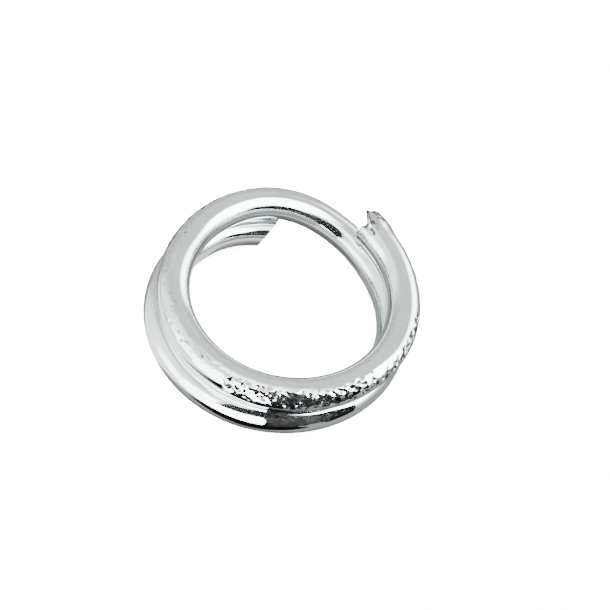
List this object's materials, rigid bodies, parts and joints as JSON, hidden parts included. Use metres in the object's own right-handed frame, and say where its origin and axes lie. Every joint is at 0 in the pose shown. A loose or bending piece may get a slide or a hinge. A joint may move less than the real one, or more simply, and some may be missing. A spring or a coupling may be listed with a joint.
{
  "type": "split key ring",
  "caption": "Split key ring of thick round wire: two flat turns resting on each other, with sheared free ends that pry apart to take a key or charm.",
  "frame": {"origin": "centre of the ring's bounding box, on the plane the lower turn rests on", "axes": "+Z along the ring's axis, out of the upper turn. The upper free end is at the back right, towards +X +Y, and -Y is the near side of the picture"},
  "size_m": [0.0104, 0.0102, 0.0029],
  "materials": {
    "upper_free_end_plating": "bright silver plating on spring wire",
    "upper_turn_right_plating": "bright silver plating on spring wire",
    "upper_turn_front_plating": "bright silver plating on spring wire",
    "upper_turn_left_plating": "bright silver plating on spring wire",
    "upper_turn_back_plating": "bright silver plating on spring wire",
    "crossover_plating": "bright silver plating on spring wire",
    "lower_turn_right_plating": "bright silver plating on spring wire",
    "lower_turn_front_plating": "bright silver plating on spring wire",
    "lower_turn_left_plating": "bright silver plating on spring wire",
    "lower_turn_back_plating": "bright silver plating on spring wire",
    "lower_free_end_plating": "bright silver plating on spring wire"
  },
  "bodies": {
    "upper_free_end": {"upper_free_end": "upper_free_end_plating"},
    "upper_turn_right": {"upper_turn_right": "upper_turn_right_plating"},
    "upper_turn_front": {"upper_turn_front": "upper_turn_front_plating"},
    "upper_turn_left": {"upper_turn_left": "upper_turn_left_plating"},
    "upper_turn_back": {"upper_turn_back": "upper_turn_back_plating"},
    "crossover": {"crossover": "crossover_plating"},
    "lower_turn_right": {"lower_turn_right": "lower_turn_right_plating"},
    "lower_turn_front": {"lower_turn_front": "lower_turn_front_plating"},
    "lower_turn_left": {"lower_turn_left": "lower_turn_left_plating"},
    "lower_turn_back": {"lower_turn_back": "lower_turn_back_plating"},
    "lower_free_end": {"lower_free_end": "lower_free_end_plating"}
  },
  "joints": [
    {"name": "upper_free_end_twist", "type": "hinge", "parent": "upper_turn_right", "child": "upper_free_end", "pos_m": [0.00455, 0.00036, 0.00197], "axis": [-0.0506, 0.9984, 0.0269], "range_deg": [0, 0.72], "stiffness_Nm_per_rad": 4.48},
    {"name": "upper_turn_right_twist", "type": "hinge", "parent": "upper_turn_front", "child": "upper_turn_right", "pos_m": [0.00284, -0.00333, 0.00191], "axis": [0.7933, 0.6088, 0.0055], "range_deg": [0, 2.27], "stiffness_Nm_per_rad": 4.48},
    {"name": "upper_turn_front_twist", "type": "hinge", "parent": "upper_turn_left", "child": "upper_turn_front", "pos_m": [-0.00117, -0.00402, 0.0019], "axis": [0.9516, -0.3074, 0.0011], "range_deg": [0, 3.3], "stiffness_Nm_per_rad": 4.48},
    {"name": "upper_turn_left_twist", "type": "hinge", "parent": "upper_turn_back", "child": "upper_turn_left", "pos_m": [-0.00401, -0.00111, 0.0019], "axis": [0.2874, -0.9578, 0.0002], "range_deg": [0, 2.93], "stiffness_Nm_per_rad": 4.48},
    {"name": "upper_turn_back_twist", "type": "hinge", "parent": "crossover", "child": "upper_turn_back", "pos_m": [-0.00324, 0.00288, 0.0019], "axis": [-0.6252, -0.7804, 0], "range_deg": [0, 1.47], "stiffness_Nm_per_rad": 4.48},
    {"name": "lower_turn_right_twist", "type": "hinge", "parent": "crossover", "child": "lower_turn_right", "pos_m": [0.00408, 0.00163, 0.00063], "axis": [0.3632, -0.9317, 0], "range_deg": [0, 1.53], "stiffness_Nm_per_rad": 4.51},
    {"name": "lower_turn_front_twist", "type": "hinge", "parent": "lower_turn_right", "child": "lower_turn_front", "pos_m": [0.00363, -0.00251, 0.00063], "axis": [-0.5552, -0.8317, 0], "range_deg": [0, 2.96], "stiffness_Nm_per_rad": 4.51},
    {"name": "lower_turn_left_twist", "type": "hinge", "parent": "lower_turn_front", "child": "lower_turn_left", "pos_m": [-0.00002, -0.00452, 0.00063], "axis": [-0.9998, -0.0205, 0], "range_deg": [0, 3.3], "stiffness_Nm_per_rad": 4.51},
    {"name": "lower_turn_back_twist", "type": "hinge", "parent": "lower_turn_left", "child": "lower_turn_back", "pos_m": [-0.00374, -0.00266, 0.00063], "axis": [-0.5826, 0.8128, 0], "range_deg": [0, 2.25], "stiffness_Nm_per_rad": 4.51},
    {"name": "lower_free_end_twist", "type": "hinge", "parent": "lower_turn_back", "child": "lower_free_end", "pos_m": [-0.00425, 0.00139, 0.00063], "axis": [0.3777, 0.9259, 0], "range_deg": [0, 0.72], "stiffness_Nm_per_rad": 4.51}
  ]
}
